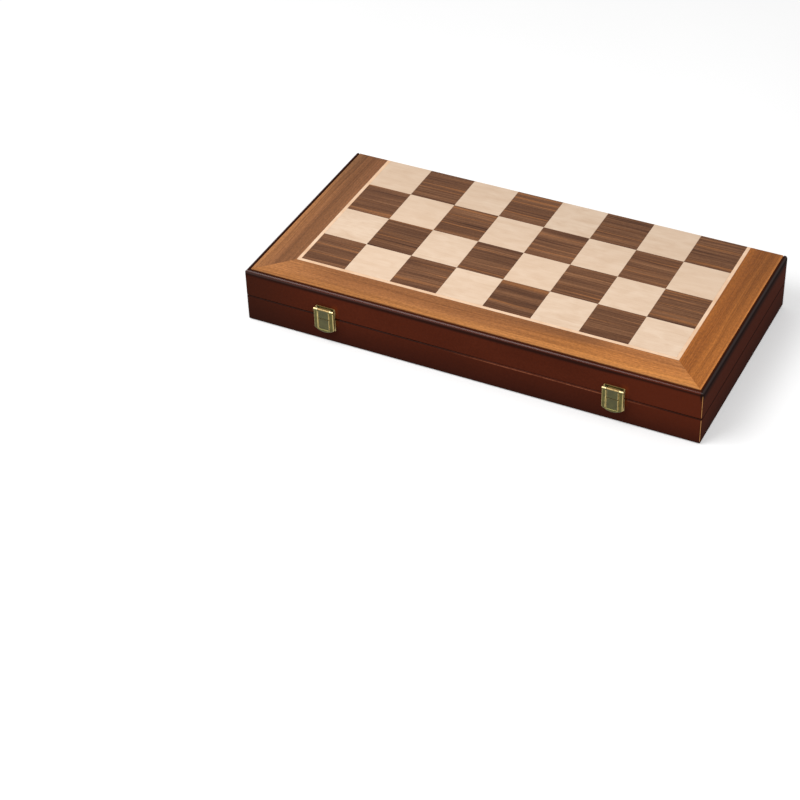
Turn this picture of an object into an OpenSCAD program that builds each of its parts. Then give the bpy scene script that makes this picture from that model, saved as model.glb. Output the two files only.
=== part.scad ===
// Folding chess box. Two shallow half cases are hinged along the back and are held
// shut by two brass hasps at the front. Their outer faces carry the two halves of a
// veneered chessboard, and the chessmen lie in fitted trays in the lower half.
// Origin: the middle of the underside. +X runs along the box, +Y to the hinges, +Z up.

/* [Board] */
// Side of one square of the board
square_size = 50; // [46:1:52]
// Width of the margin outside the squares, out to the face of the wall
margin_w = 40; // [36:1:46]
// Width of the light inlaid line round the squares
line_w = 3.6; // [2:0.2:5]
// Thickness of the veneers
veneer_t = 0.8; // [0.6:0.1:1.2]
// Depth of the veneers below the rim that the box stands on
veneer_set = 0.2; // [0.1:0.05:0.4]
// Width of the glue line between two veneers
glue_line = 0.1; // [0.06:0.02:0.2]
// Width of the lacquered groove between the veneer and the rim
groove_w = 1; // [0.75:0.25:3]

/* [Case] */
// Height of one half of the box
half_h = 30; // [28:1:38]
// Thickness of the wall boards
wall_t = 9; // [8.5:0.5:12]
// Width of the rim that frames the panel
rim_w = 3.75; // [3.5:0.25:6]
// Radius of the rounded outer edge of the rim
rim_r = 3.25; // [1.5:0.25:3.25]
// Radius of the upright outer corners
corner_r = 1.5; // [0.5:0.25:3]
// Bevel on the edges of the walls at the seam
seam_bevel = 0.6; // [0.3:0.1:1]
// Gap between the two halves when the box is shut
seam_gap = 0.4; // [0.2:0.1:0.8]
// Thickness of the panels that carry the veneers
panel_t = 4; // [3:0.5:6]
// Thickness of the felt linings
felt_t = 1; // [0.8:0.1:2]
// Play of a panel, felt or tray between the walls
lining_fit = 0.15; // [0.1:0.05:0.25]

/* [Hinges] */
// Distance of each hinge's middle from the end of the box
hinge_in = 100; // [80:5:140]
// Length of each hinge
hinge_l = 45; // [36:1:60]
// Reach of a hinge leaf over the rim of the back wall
leaf_w = 7.5; // [7:0.1:8]
// Thickness of a hinge leaf
leaf_t = 1; // [0.8:0.1:1.3]
// Radius of the hinge knuckles
knuckle_r = 2.3; // [2:0.1:2.6]
// Radius of the hinge pins
hinge_pin_r = 1; // [0.8:0.05:1.2]
// Distance of the hinge axis behind the back face
axis_set = 0.2; // [0.15:0.05:0.3]
// Length of the hinge screws
hinge_screw_l = 9; // [7:0.5:12]

/* [Latches] */
// Distance of the left latch's middle from the left end of the box
left_latch_in = 90; // [70:2:120]
// Distance of the right latch's middle from the right end of the box
right_latch_in = 86; // [70:2:120]
// Width of the hasp
hasp_w = 21.5; // [19:0.5:24]
// Width of each arm of the hasp
hasp_arm_w = 4.4; // [3.8:0.2:5]
// Thickness of the hasp
hasp_t = 2.4; // [1.8:0.1:2.6]
// Height of the bar across the lower end of the hasp
hasp_bar_h = 3.5; // [2.5:0.25:4.5]
// Drop of the hasp from its pivot to its lowest edge
hasp_drop = 25.5; // [23:0.5:26]
// Height of the hasp's pivot above the seam
pivot_h = 9.5; // [8:0.5:11]
// Distance of the pivot in front of the wall
pivot_d = 4; // [3.6:0.1:4.6]
// Radius of the latch knuckles
eye_r = 1.6; // [1.4:0.05:1.8]
// Radius of the latch pins
latch_pin_r = 0.75; // [0.6:0.05:0.9]
// Width of the latch plates against the wall
plate_w = 21; // [18:0.5:23]
// Thickness of the latch plates' sheet
sheet_t = 0.8; // [0.6:0.1:1]
// Depth of the raised channel in the middle of a latch plate
hump_d = 5.3; // [4.8:0.1:6]
// Gap between the hasp and what it goes round
hasp_gap = 0.4; // [0.3:0.05:0.6]
// Length of the latch screws
latch_screw_l = 7; // [5:0.5:8]

/* [Chessmen] */
// Height of the kings
king_h = 88; // [84:1:94]
// Diameter of the kings' bases
king_d = 33; // [30:0.5:35]
// Height of the queens
queen_h = 73; // [68:1:80]
// Diameter of the queens' bases
queen_d = 32; // [29:0.5:34]
// Height of the bishops
bishop_h = 61; // [56:1:64]
// Diameter of the bishops' bases
bishop_d = 28; // [26:0.5:31]
// Height of the knights
knight_h = 58; // [54:1:61]
// Diameter of the knights' bases
knight_d = 29; // [27:0.5:31]
// Height of the rooks
rook_h = 49; // [45:1:54]
// Diameter of the rooks' bases
rook_d = 29; // [27:0.5:31]
// Height of the pawns
pawn_h = 42; // [39:1:46]
// Diameter of the pawns' bases
pawn_d = 25; // [23:0.5:27]
// Thickness of the felt pads under the men
pad_t = 0.8; // [0.5:0.1:1.2]

/* [Trays] */
// Height of the two trays
tray_h = 12; // [9:0.5:15]
// Play of a man in its slot, on each side
slot_gap = 0.7; // [0.5:0.1:1.2]
// Radius of the corners of the slots
slot_r = 2; // [1:0.25:3]

/* [Hidden] */
$fn = 48;

// Small clearances that every size of the box keeps
touch = 0.05;      // between two pieces that lie on each other
overrun = 1;       // how far a cutting shape runs past the face that it cuts
line_sink = 0.02;  // how far inside an arc the line ends that runs on into it

// The case
squares_x = 8;
squares_y = 4;
field_l = squares_x * square_size;
box_l = field_l + 2 * margin_w;
box_w = squares_y * square_size + margin_w;
front_y = -box_w / 2;
back_y = box_w / 2;
field_y = front_y + margin_w;
wall_z = seam_gap / 2;                               // rim at the seam, from the seam's middle
skin_z = half_h - veneer_set - veneer_t;             // inner side of the veneers
panel_z = skin_z - panel_t;                          // inner side of the panel
felt_z = panel_z - felt_t;                           // inner side of the felt
half_line = line_w / 2;
border_out = margin_w - rim_w - groove_w;            // outer edge of the border veneer
side_in = box_l / 2 - wall_t;                        // inner face of a side wall
front_in = front_y + wall_t;
back_in = back_y - wall_t;

// The hinges
hinge_x = box_l / 2 - hinge_in;
axis_y = back_y + axis_set;
leaf_z = wall_z + touch;
knuckles = 5;
knuckle_gap = 0.3;
knuckle_l = hinge_l / knuckles;
knuckle_room = 0.4;                                  // recess round the knuckles in the walls
pin_play = 0.05;
leaf_screws = 3;
hinge_screw_r = 1.1;
hinge_head_r = 1.9;
leaf_edge_y = axis_y - knuckle_r - knuckle_room;     // where the flat of a leaf ends
hinge_screw_y = (back_y - leaf_w + leaf_edge_y) / 2;
screw_play = 0.03;
slot_w = 0.5;                                        // driver slots in the screw heads
slot_deep = 0.4;

// The latches
function latch_x(side) = side < 0 ? left_latch_in - box_l / 2 : box_l / 2 - right_latch_in;
hump_w = hasp_w - 2 * hasp_arm_w - 2 * hasp_gap;
pivot_y = front_y - pivot_d;
plate_set = 0.2;                                     // latch plates stop short of the seam
plate_end = wall_z + plate_set;
plate_over = 1.9;                                    // lid's latch plate above the pivot
plate_top = pivot_h + plate_over;
hasp_foot = pivot_h - hasp_drop;                     // lowest edge of the hasp, from the seam
bar_top = hasp_foot + hasp_bar_h;
catch_low = bar_top + hasp_gap;                      // lower end of the raised channel
catch_under = 1.6;                                   // catch plate above the hasp's lowest edge
catch_edge = hasp_foot + catch_under;
arm_step = 0.7;                                      // arms' inner face in front of the eyes' back
hasp_back = pivot_d - eye_r + arm_step;              // inner face of the arms, from the wall
foot_bow_r = 16;                                     // bow of the hasp's foot
hasp_round = 1.2;                                    // rounding of the hasp's outer edges
window_bevel = 1;                                    // face width of the bevels round its window
hump_round = 0.8;                                    // rounding of the raised channel's edges
latch_pin_set = 0.5;                                 // ends of the latch pin inside the eyes
latch_screw_r = 0.8;
latch_head_r = 1.5;
latch_screw_x = (hump_w / 2 + plate_w / 2) / 2;
plate_screw_z = 4.8;
catch_screw_z = -8;

// The chessmen
type_king = 0;
type_queen = 1;
type_bishop = 2;
type_knight = 3;
type_rook = 4;
type_pawn = 5;
types = [type_king, type_queen, type_bishop, type_knight, type_rook, type_pawn];
heights = [king_h, queen_h, bishop_h, knight_h, rook_h, pawn_h];
radii = [king_d, queen_d, bishop_d, knight_d, rook_d, pawn_d] / 2;

// Turned foot: shares of the base radius
foot_share = 0.25;                                   // height of the flat foot
bulge_share = 0.30;                                  // radius of the swelling above it
bulge_sink = 0.8;                                    // swelling's middle above the foot, in its radii
ring_share = 0.66;                                   // ring on top of the swelling
ring_round = 0.25;                                   // half thickness of that ring, in bulge radii
foot_edge_r = 0.8;
groove_deep = 0.9;                                   // turned groove above the foot

// Turned necks: narrowest radius, and how far that lies below the collar
neck_r = [5.8, 5.9, 4.9, 0, 7.2, 5];
neck_below = [8, 6, 5, 0, 5, 3];
neck_step = 1;                                       // foot of the neck inside the ring
collar_z = [king_h * 0.49, queen_h * 0.575, bishop_h * 0.5, 0, rook_h * 0.66, pawn_h * 0.5];
// Collars: discs of radius, height above the collar line and half thickness
collars = [
    [[7.1, -3.5, 1], [11.4, 0, 1.9], [9.4, 4.2, 1.4]],
    [[11.4, 0, 2], [9.6, 4.4, 1.4]],
    [[8.4, 0, 1.5], [6.9, 3, 1]],
    [],
    [],
    [[7.6, 0, 1.4]]
];

// Heads of the king and queen
crown_waist = [[8, 4], [7.4, 8], [8.4, 14]];         // radius, height above the collar line
crown_rim_r = [11.6, 11.8];
crown_rim_round = [0.6, 1.2];
crown_below = [22.6, 8.5];                           // rim's middle below the top of the man
crown_dome_r = 4;
crown_dome_h = 3.2;
cross_t = 6;
cross_reach = 6.5;                                   // half width over the arms
cross_tip = 3.4;                                     // half width of an arm at its end
cross_waist = 2;                                     // half width of an arm where they meet
cross_low = 3.4;                                     // cross's foot above the crown's rim
cross_mid = 0.54;                                    // middle of the arms, of the cross's height
coronet_w = 2.4;                                     // ring of the queen's coronet
coronet_deep = 0.3;                                  // floor of the coronet below the rim's middle
coronet_notches = 9;
coronet_notch_r = 1.3;
queen_stalk_r = 2;
queen_ball_r = 3.6;

// Head of the bishop
mitre_belly_r = 8.9;
mitre_r = 18;                                        // arc that runs up into the point
mitre_below = 18.2;                                  // belly's middle below the top
mitre_point = 14;                                    // end of the arc above the belly's middle
mitre_ball_r = 3;
mitre_cut = [4, 7];                                  // middle of the slanting cut: radius, rise
mitre_cut_w = 1.2;
mitre_cut_lean = 35;

// Head of the rook
tower_r = 11.4;
tower_lip = [[1.6, 0], [0.6, 1.2]];                  // inside the tower's radius, above the collar
tower_flare = 3;                                     // start of the flare below the collar
tower_wall = 2.4;
tower_deep = 9;
tower_kerf_w = 0.9;
tower_kerf_h = 3;

// Head of the pawn
pawn_ball_r = 7.4;

// Head and neck of the knight: x forwards from its axis, heights down from its top
knight_back = 15.5;                                  // reach of the mane behind the axis
mane_r = 60;                                         // long arc up the back of the neck
mane_mid = [mane_r - knight_back, -24];
mane_w = 3.4;                                        // mane's border round the hollow
crest_r = 13;                                        // arc over the head, which runs on from it
crest_x = mane_mid[0] - sqrt(pow(mane_r - crest_r, 2) - pow(mane_mid[1] + crest_r, 2));
crest_end = mane_mid[1] * (1 - mane_r / (mane_r - crest_r)) - crest_r * mane_r / (mane_r - crest_r);
forelock = [[2.2, 0], [3, -2.6]];                    // end of the crest, and its foot on the brow
brow = [8.2, -8.4];
nose = [10.2, -18, 2.7];                             // middle and radius of its arc
chin = [10.4, -21.2, 1.9];
throat = [5, -22.5];
jaw = [4.4, -14.6, 8];                               // round cheek in front of the hollow
breast = [2.2, 6, 10];                               // its arc's middle is above the ring
breast_w = 2.2;                                      // breast's border in front of the hollow
hollow_foot = 2.5;                                   // lower end of the hollow above the ring
hollow_foot_r = 15;
neck_half = 5.4;                                     // half thickness between the hollows
crest_half = 4.4;                                    // half thickness at the top
flank_half = 9.6;                                    // and where the neck is thickest
flank_rise = 2.1;                                    // thickest place above the ring
cheek_r = 22;                                        // rounding of the flanks, seen from above
cheek_x = -1;
knight_eye = [6.6, 5.6, -10];
knight_eye_r = 1.3;
knight_mouth = [12.4, 4.6, -20.2];
knight_mouth_size = [5, 4, 0.8];
knight_mouth_lean = 8;
knight_nostril = [11.4, 5.6, -17.2];
knight_nostril_r = 0.9;
knight_ring_over = 2;                                // knight's ring wider than that of the others
knight_ring_half = 1.2;

// What touches the floor of the tray's felt under a lying man's head: a ring's outer
// radius, the radius of its rounding, and its height. A knight rests on its eye.
head_r = [crown_rim_r[0], crown_rim_r[1], mitre_belly_r, knight_eye[1] + knight_eye_r,
          tower_r, pawn_ball_r];
head_round = [crown_rim_round[0], crown_rim_round[1], mitre_r, knight_eye_r, 0, pawn_ball_r];
head_z = [king_h - crown_below[0], queen_h - crown_below[1], bishop_h - mitre_below,
          knight_h + knight_eye[2], rook_h, pawn_h - pawn_ball_r];
function bulge_r(type) = radii[type] * bulge_share;
function foot_h(type) = radii[type] * foot_share;
function bulge_z(type) = pad_t + foot_h(type) + bulge_r(type) * bulge_sink;
function shoulder_z(type) = bulge_z(type) + bulge_r(type);
function rest_run(type) = head_z[type] - bulge_z(type);
function rest_drop(type) =
    radii[type] - bulge_r(type) - (head_r[type] - head_round[type]);
function tilt(type) =
    atan2(rest_drop(type), rest_run(type))
    - asin((head_round[type] - bulge_r(type)) / norm([rest_drop(type), rest_run(type)]));
function rest_lift(type) =
    (radii[type] - bulge_r(type)) * cos(tilt(type)) + bulge_z(type) * sin(tilt(type))
    + bulge_r(type);
// Half width at the very top, which tips forward as the man lies
top_half = [cross_t / 2, 0, 0, crest_half, tower_r, 0];
function man_l(type) =
    heights[type] * cos(tilt(type)) + (radii[type] + top_half[type]) * sin(tilt(type));

// Half width of each man's head in its slot. A knight lies on its cheek, at full width.
slot_head_r = [crown_rim_r[0], crown_rim_r[1], mitre_belly_r, knight_back, tower_r,
               pawn_ball_r];
slot_head_min = 9;                                   // narrowest half width of a slot
man_slot_share = 0.42;                               // wide part of a slot, of its length

// The trays: each column holds men that lie head to foot, from front to back
columns = [
    [type_king, type_queen],
    [type_bishop, type_bishop, type_knight],
    [type_knight, type_rook, type_rook],
    [type_pawn, type_pawn, type_pawn, type_pawn],
    [type_pawn, type_pawn, type_pawn, type_pawn]
];
floor_z = half_h - felt_z;
tray_gap = 0.3;                                      // between the two trays
column_pitch = side_in / len(columns);
tray_front = front_in + lining_fit;
tray_back = back_in - lining_fit;
function slot_l(type) = man_l(type) + 2 * slot_gap;
function column_l(column, upto) =
    upto == 0 ? 0 : slot_l(column[upto - 1]) + column_l(column, upto - 1);
function column_web(column) =
    (tray_back - tray_front - column_l(column, len(column))) / (len(column) + 1);
function slot_y(column, k) =
    tray_front + column_l(column, k) + (k + 1) * column_web(column);

// ---------------------------------------------------------------- common forms

// A shape drawn from the seam outwards, set on the lid or mirrored on the base
module on_lid() translate([0, 0, half_h]) children();
module on_base() translate([0, 0, half_h]) mirror([0, 0, 1]) children();

module rounded_rect(low, high, r) {
    translate([low[0] + r, low[1]])
        square([high[0] - low[0] - 2 * r, high[1] - low[1]]);
    translate([low[0], low[1] + r])
        square([high[0] - low[0], high[1] - low[1] - 2 * r]);
    for (x = [low[0] + r, high[0] - r], y = [low[1] + r, high[1] - r])
        translate([x, y]) circle(r);
}

// Countersunk screw along -Z with its head's face at z = 0
module screw(head, shank, len) {
    difference() {
        union() {
            translate([0, 0, shank - head]) cylinder(h = head - shank, r1 = shank, r2 = head);
            translate([0, 0, -len + shank]) cylinder(h = len - shank, r = shank);
            translate([0, 0, -len]) cylinder(h = shank, r1 = shank / 4, r2 = shank);
        }
        translate([-head, -slot_w / 2, -slot_deep]) cube([2 * head, slot_w, slot_deep + overrun]);
    }
}

// The hole that such a screw sits in
module screw_hole(head, shank, len) {
    translate([0, 0, shank - head - screw_play])
        cylinder(h = head - shank, r1 = shank + screw_play, r2 = head + screw_play);
    translate([0, 0, -screw_play]) cylinder(h = overrun, r = head + screw_play);
    translate([0, 0, -len - touch]) cylinder(h = len, r = shank + screw_play);
}

// ---------------------------------------------------------------- half cases

// Section of a wall: x from the outer face inwards, y from the seam outwards
module wall_section() {
    difference() {
        union() {
            translate([0, wall_z]) square([wall_t, panel_z - wall_z]);
            translate([0, wall_z]) square([rim_w, half_h - wall_z]);
        }
        difference() {
            translate([-overrun, half_h - rim_r]) square([rim_r + overrun, rim_r + overrun]);
            translate([rim_r, half_h - rim_r]) circle(rim_r);
        }
        seam_bevels();
    }
}

module back_section() {
    difference() {
        translate([0, wall_z]) square([wall_t, panel_z - wall_z]);
        seam_bevels();
    }
}

module seam_bevels() {
    polygon([[-overrun, wall_z + seam_bevel + overrun], [-overrun, wall_z - overrun],
             [seam_bevel + overrun, wall_z - overrun]]);
    polygon([[wall_t + overrun, wall_z + seam_bevel / 2 + overrun],
             [wall_t + overrun, wall_z - overrun],
             [wall_t - seam_bevel / 2 - overrun, wall_z - overrun]]);
}

module case_outline() {
    linear_extrude(half_h)
        rounded_rect([-box_l / 2, front_y], [box_l / 2, back_y], corner_r);
}

module front_wall() {
    difference() {
        intersection() {
            translate([-box_l / 2, front_y, 0]) rotate([90, 0, 90]) linear_extrude(box_l) wall_section();
            linear_extrude(half_h) polygon([
                [-box_l / 2, front_y], [box_l / 2, front_y],
                [box_l / 2 - wall_t, front_in], [-box_l / 2 + wall_t, front_in]]);
            case_outline();
        }
        children();
    }
}

module side_wall() {
    intersection() {
        translate([-box_l / 2, back_y, 0]) rotate([90, 0, 0]) linear_extrude(box_w) wall_section();
        linear_extrude(half_h) polygon([
            [-box_l / 2, front_y], [-box_l / 2 + wall_t, front_in],
            [-box_l / 2 + wall_t, back_y], [-box_l / 2, back_y]]);
        case_outline();
    }
}

module back_wall() {
    difference() {
        translate([-side_in, back_y, 0]) mirror([0, 1, 0]) rotate([90, 0, 90])
            linear_extrude(2 * side_in) back_section();
        for (side = [-1, 1]) translate([side * hinge_x, 0, 0]) hinge_mortise();
    }
}

module panel() {
    translate([-box_l / 2 + rim_w + touch, front_y + rim_w + touch, panel_z])
        cube([box_l - 2 * rim_w - 2 * touch, box_w - rim_w - touch, panel_t]);
}

// One colour of the squares. Odd or even tells which squares of the half are taken.
module squares(odd) {
    inset = glue_line / 2;
    line_edge = half_line + inset;
    for (i = [0:squares_x - 1], j = [0:squares_y - 1])
        if ((i + j) % 2 == odd) {
            x0 = -field_l / 2 + i * square_size + (i == 0 ? line_edge : inset);
            x1 = -field_l / 2 + (i + 1) * square_size - (i == squares_x - 1 ? line_edge : inset);
            y0 = field_y + j * square_size + (j == 0 ? line_edge : inset);
            y1 = field_y + (j + 1) * square_size - (j == squares_y - 1 ? 0 : inset);
            translate([x0, y0, skin_z]) cube([x1 - x0, y1 - y0, veneer_t]);
        }
}

// Three mitred strips at the front and the two sides, between two distances from the field
module mitred_strips(inner, outer) {
    xi = field_l / 2 + inner;
    xo = field_l / 2 + outer;
    yi = field_y - inner;
    yo = field_y - outer;
    translate([0, 0, skin_z]) linear_extrude(veneer_t) {
        polygon([[-xo + glue_line, yo], [xo - glue_line, yo],
                 [xi - glue_line, yi], [-xi + glue_line, yi]]);
        for (side = [-1, 1])
            polygon([[side * xo, yo], [side * xi, yi], [side * xi, back_y], [side * xo, back_y]]);
    }
}

module border_veneer() mitred_strips(half_line + glue_line / 2, border_out);
module inlaid_line() mitred_strips(-half_line + glue_line / 2, half_line - glue_line / 2);

module felt() {
    translate([-side_in + lining_fit, front_in + lining_fit, felt_z])
        cube([2 * (side_in - lining_fit), back_in - front_in - 2 * lining_fit, felt_t]);
}

// ---------------------------------------------------------------- hinges

// Everything that the back wall gives up to one hinge, and the holes of its screws
module hinge_mortise() {
    translate([-hinge_l / 2 - touch, back_y - leaf_w - touch, wall_z - overrun])
        cube([hinge_l + 2 * touch, leaf_w + overrun, leaf_t + 2 * touch + overrun]);
    translate([-hinge_l / 2 - touch, axis_y, 0]) rotate([0, 90, 0])
        cylinder(h = hinge_l + 2 * touch, r = knuckle_r + knuckle_room);
    leaf_screw_places() screw_hole(hinge_head_r, hinge_screw_r, hinge_screw_l);
}

module leaf_screw_places() {
    pitch = hinge_l / leaf_screws;
    for (k = [0:leaf_screws - 1])
        translate([(k - (leaf_screws - 1) / 2) * pitch, hinge_screw_y, leaf_z])
            mirror([0, 0, 1]) children();
}

// A leaf whose own knuckles are the even or the odd ones, seen from the seam outwards
module hinge_leaf(odd) {
    difference() {
        union() {
            translate([-hinge_l / 2, back_y - leaf_w, leaf_z])
                cube([hinge_l, axis_y - back_y + leaf_w, leaf_t]);
            for (k = [odd:2:knuckles - 1]) knuckle_span(k, knuckle_r, -knuckle_gap / 2);
        }
        for (k = [1 - odd:2:knuckles - 1])
            knuckle_span(k, knuckle_r + knuckle_room, knuckle_gap / 2);
        translate([-hinge_l / 2 - overrun, axis_y, 0]) rotate([0, 90, 0])
            cylinder(h = hinge_l + 2 * overrun, r = hinge_pin_r + pin_play);
        leaf_screw_places() screw_hole(hinge_head_r, hinge_screw_r, hinge_screw_l);
    }
}

module knuckle_span(k, r, grow) {
    low = k == 0 ? 0 : k * knuckle_l - grow;
    high = k == knuckles - 1 ? hinge_l : (k + 1) * knuckle_l + grow;
    translate([low - hinge_l / 2, axis_y, 0]) rotate([0, 90, 0]) cylinder(h = high - low, r = r);
}

module hinge_pin() {
    translate([-hinge_l / 2, axis_y, half_h]) rotate([0, 90, 0]) cylinder(h = hinge_l, r = hinge_pin_r);
}

module leaf_screws_set() leaf_screw_places() screw(hinge_head_r, hinge_screw_r, hinge_screw_l);

module at_hinge(side) translate([side * hinge_x, 0, 0]) children();

// ---------------------------------------------------------------- latches
// Latch parts are drawn with z from the seam, up the lid or down the base.

module at_latch(side) translate([latch_x(side), 0, half_h]) children();

// Bar lying on y = 0 with its two front edges rounded, drawn across its length
module bar_section(width, depth, r) {
    translate([-width / 2, r - depth]) square([width, depth - r]);
    translate([r - width / 2, -depth]) square([width - 2 * r, depth]);
    for (x = [r - width / 2, width / 2 - r]) translate([x, r - depth]) circle(r);
}

// Plate of sheet on the wall with a channel raised from its middle, which is hollow and
// open at the seam. Heights of the plate's far edge, the channel's closed end and the seam.
module raised_plate(far_edge, closed_end, seam_end) {
    towards = closed_end > seam_end ? 1 : -1;
    inner_end = closed_end - towards * sheet_t;
    outer_end = seam_end - towards * overrun;
    hollow_w = hump_w - 2 * sheet_t;
    difference() {
        union() {
            translate([0, front_y, 0]) rotate([90, 0, 0]) linear_extrude(sheet_t)
                rounded_rect([-plate_w / 2, min(far_edge, seam_end)],
                             [plate_w / 2, max(far_edge, seam_end)], sheet_t);
            translate([0, front_y, min(closed_end, seam_end)])
                linear_extrude(abs(closed_end - seam_end)) bar_section(hump_w, hump_d, hump_round);
        }
        translate([-hollow_w / 2, front_y - hump_d + sheet_t, min(inner_end, outer_end)])
            cube([hollow_w, hump_d, abs(inner_end - outer_end)]);
    }
}

module latch_screw_places(z) {
    for (side = [-1, 1])
        translate([side * latch_screw_x, front_y - sheet_t, z]) rotate([90, 0, 0]) children();
}

module latch_plate() {
    difference() {
        union() {
            raised_plate(plate_top, pivot_h, plate_end);
            translate([-hump_w / 2, pivot_y, pivot_h]) rotate([0, 90, 0]) cylinder(h = hump_w, r = eye_r);
        }
        translate([-hump_w, pivot_y, pivot_h]) rotate([0, 90, 0])
            cylinder(h = 2 * hump_w, r = latch_pin_r + pin_play);
        latch_screw_places(plate_screw_z) screw_hole(latch_head_r, latch_screw_r, latch_screw_l);
    }
}

module latch_pin() {
    length = hasp_w - 2 * latch_pin_set;
    translate([-length / 2, pivot_y, pivot_h]) rotate([0, 90, 0]) cylinder(h = length, r = latch_pin_r);
}

// Hasp: a U of flat bar with a bowed foot, whose arms end in eyes round the pin. Its outer
// edges are rounded, along the arms and round the foot.
module hasp_bar() {
    bow_z = hasp_foot + foot_bow_r;
    intersection() {
        translate([0, 0, hasp_foot]) linear_extrude(hasp_drop) bar_section(hasp_w, hasp_t, hasp_round);
        union() {
            translate([0, 0, bow_z]) rotate([90, 0, 0]) rotate_extrude($fn = 120) {
                square([foot_bow_r, hasp_t - hasp_round]);
                square([foot_bow_r - hasp_round, hasp_t]);
                translate([foot_bow_r - hasp_round, hasp_t - hasp_round]) circle(hasp_round);
            }
            translate([-hasp_w / 2, -hasp_t, bow_z]) cube([hasp_w, hasp_t, hasp_drop]);
        }
    }
}

// Window in the hasp, open at the top, with bevels along its front edges
module hasp_window() {
    window_w = hasp_w - 2 * hasp_arm_w;
    translate([-window_w / 2, -hasp_t - overrun, bar_top])
        cube([window_w, hasp_t + 2 * overrun, hasp_drop]);
    for (side = [-1, 1])
        translate([side * window_w / 2, -hasp_t, bar_top]) rotate([0, 0, 45])
            translate([-window_bevel / 2, -window_bevel / 2, 0])
                cube([window_bevel, window_bevel, hasp_drop]);
    translate([0, -hasp_t, bar_top]) rotate([45, 0, 0])
        cube([window_w, window_bevel, window_bevel], center = true);
}

module hasp() {
    difference() {
        union() {
            translate([0, front_y - hasp_back, 0]) difference() {
                hasp_bar();
                hasp_window();
            }
            for (side = [-1, 1])
                translate([side * (hasp_w - hasp_arm_w) / 2, pivot_y, pivot_h]) rotate([0, 90, 0])
                    cylinder(h = hasp_arm_w, r = eye_r, center = true);
        }
        translate([-hasp_w, pivot_y, pivot_h]) rotate([0, 90, 0])
            cylinder(h = 2 * hasp_w, r = latch_pin_r + pin_play);
    }
}

module catch_plate() {
    difference() {
        raised_plate(catch_edge, catch_low, -plate_end);
        latch_screw_places(catch_screw_z) screw_hole(latch_head_r, latch_screw_r, latch_screw_l);
    }
}

module latch_holes(z) {
    for (side = [-1, 1])
        translate([latch_x(side), 0, 0]) latch_screw_places(z)
            screw_hole(latch_head_r, latch_screw_r, latch_screw_l);
}

// ---------------------------------------------------------------- chessmen
// A man is drawn upright on z = 0, with the pad below its foot.

// Flat disc with a round edge
module disc_profile(r, z, half) {
    translate([0, z - half]) square([r - half, 2 * half]);
    translate([r - half, z]) circle(half);
}

// Half of a ball on the axis
module ball_profile(r, z) {
    intersection() {
        translate([0, z - r]) square([r, 2 * r]);
        translate([0, z]) circle(r);
    }
}

// Turned foot: a rounded foot, a swelling, and the ring where the neck starts
module foot_profile(type) {
    r = radii[type];
    foot = foot_h(type);
    bulge = bulge_r(type);
    rounded_rect([0, pad_t], [r, pad_t + foot], foot_edge_r);
    translate([0, pad_t]) square([r - bulge, shoulder_z(type) - pad_t]);
    translate([0, pad_t + foot / 2]) square([r - groove_deep, bulge_z(type) - pad_t - foot / 2]);
    translate([r - bulge, bulge_z(type)]) circle(bulge);
    disc_profile(r * ring_share, shoulder_z(type), bulge * ring_round);
}

// Hollow neck along one arc, then straight up into the head as far as the given height
module neck_profile(type, top) {
    low_r = radii[type] * ring_share - neck_step;
    low_z = shoulder_z(type);
    high_r = neck_r[type];
    high_z = collar_z[type] - neck_below[type];
    step = low_r - high_r;
    rise = high_z - low_z;
    arc_r = (step * step + rise * rise) / (2 * step);
    difference() {
        translate([0, low_z]) square([low_r, rise]);
        translate([high_r + arc_r, high_z]) circle(arc_r);
    }
    translate([0, high_z]) square([high_r, top - high_z]);
}

// Foot, neck and collars of a turned man
module stem_profile(type, top) {
    foot_profile(type);
    neck_profile(type, top);
    for (disc = collars[type]) disc_profile(disc[0], collar_z[type] + disc[1], disc[2]);
}

// Crown of the king or queen: it widens from its waist up to a rim with a round edge
module crown_profile(type) {
    low = collar_z[type];
    rim = head_z[type];
    rim_r = crown_rim_r[type] - crown_rim_round[type];
    polygon([[0, low], [crown_waist[0][0], low + crown_waist[0][1]],
             [crown_waist[1][0], low + crown_waist[1][1]],
             [crown_waist[2][0], low + crown_waist[2][1]], [rim_r, rim], [0, rim]]);
    disc_profile(crown_rim_r[type], rim, crown_rim_round[type]);
}

module king() {
    rim = head_z[type_king];
    low = rim + cross_low;
    top = king_h - low;
    mid = top * cross_mid;
    rotate_extrude() {
        stem_profile(type_king, collar_z[type_king] + crown_waist[0][1]);
        crown_profile(type_king);
        translate([0, rim + crown_rim_round[type_king]])
            polygon([[0, 0], [crown_rim_r[type_king] - 2 * crown_rim_round[type_king], 0],
                     [crown_dome_r, crown_dome_h], [0, crown_dome_h]]);
        translate([0, rim]) square([cross_tip, cross_low + cross_waist]);
    }
    // Cross with arms that widen outwards, standing on the crown
    translate([0, cross_t / 2, low]) rotate([90, 0, 0]) linear_extrude(cross_t) polygon([
        [cross_tip, top], [cross_waist, mid + cross_waist],
        [cross_reach, mid + cross_tip], [cross_reach, mid - cross_tip],
        [cross_waist, mid - cross_waist], [crown_dome_r, 0],
        [-crown_dome_r, 0], [-cross_waist, mid - cross_waist],
        [-cross_reach, mid - cross_tip], [-cross_reach, mid + cross_tip],
        [-cross_waist, mid + cross_waist], [-cross_tip, top]]);
}

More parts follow.
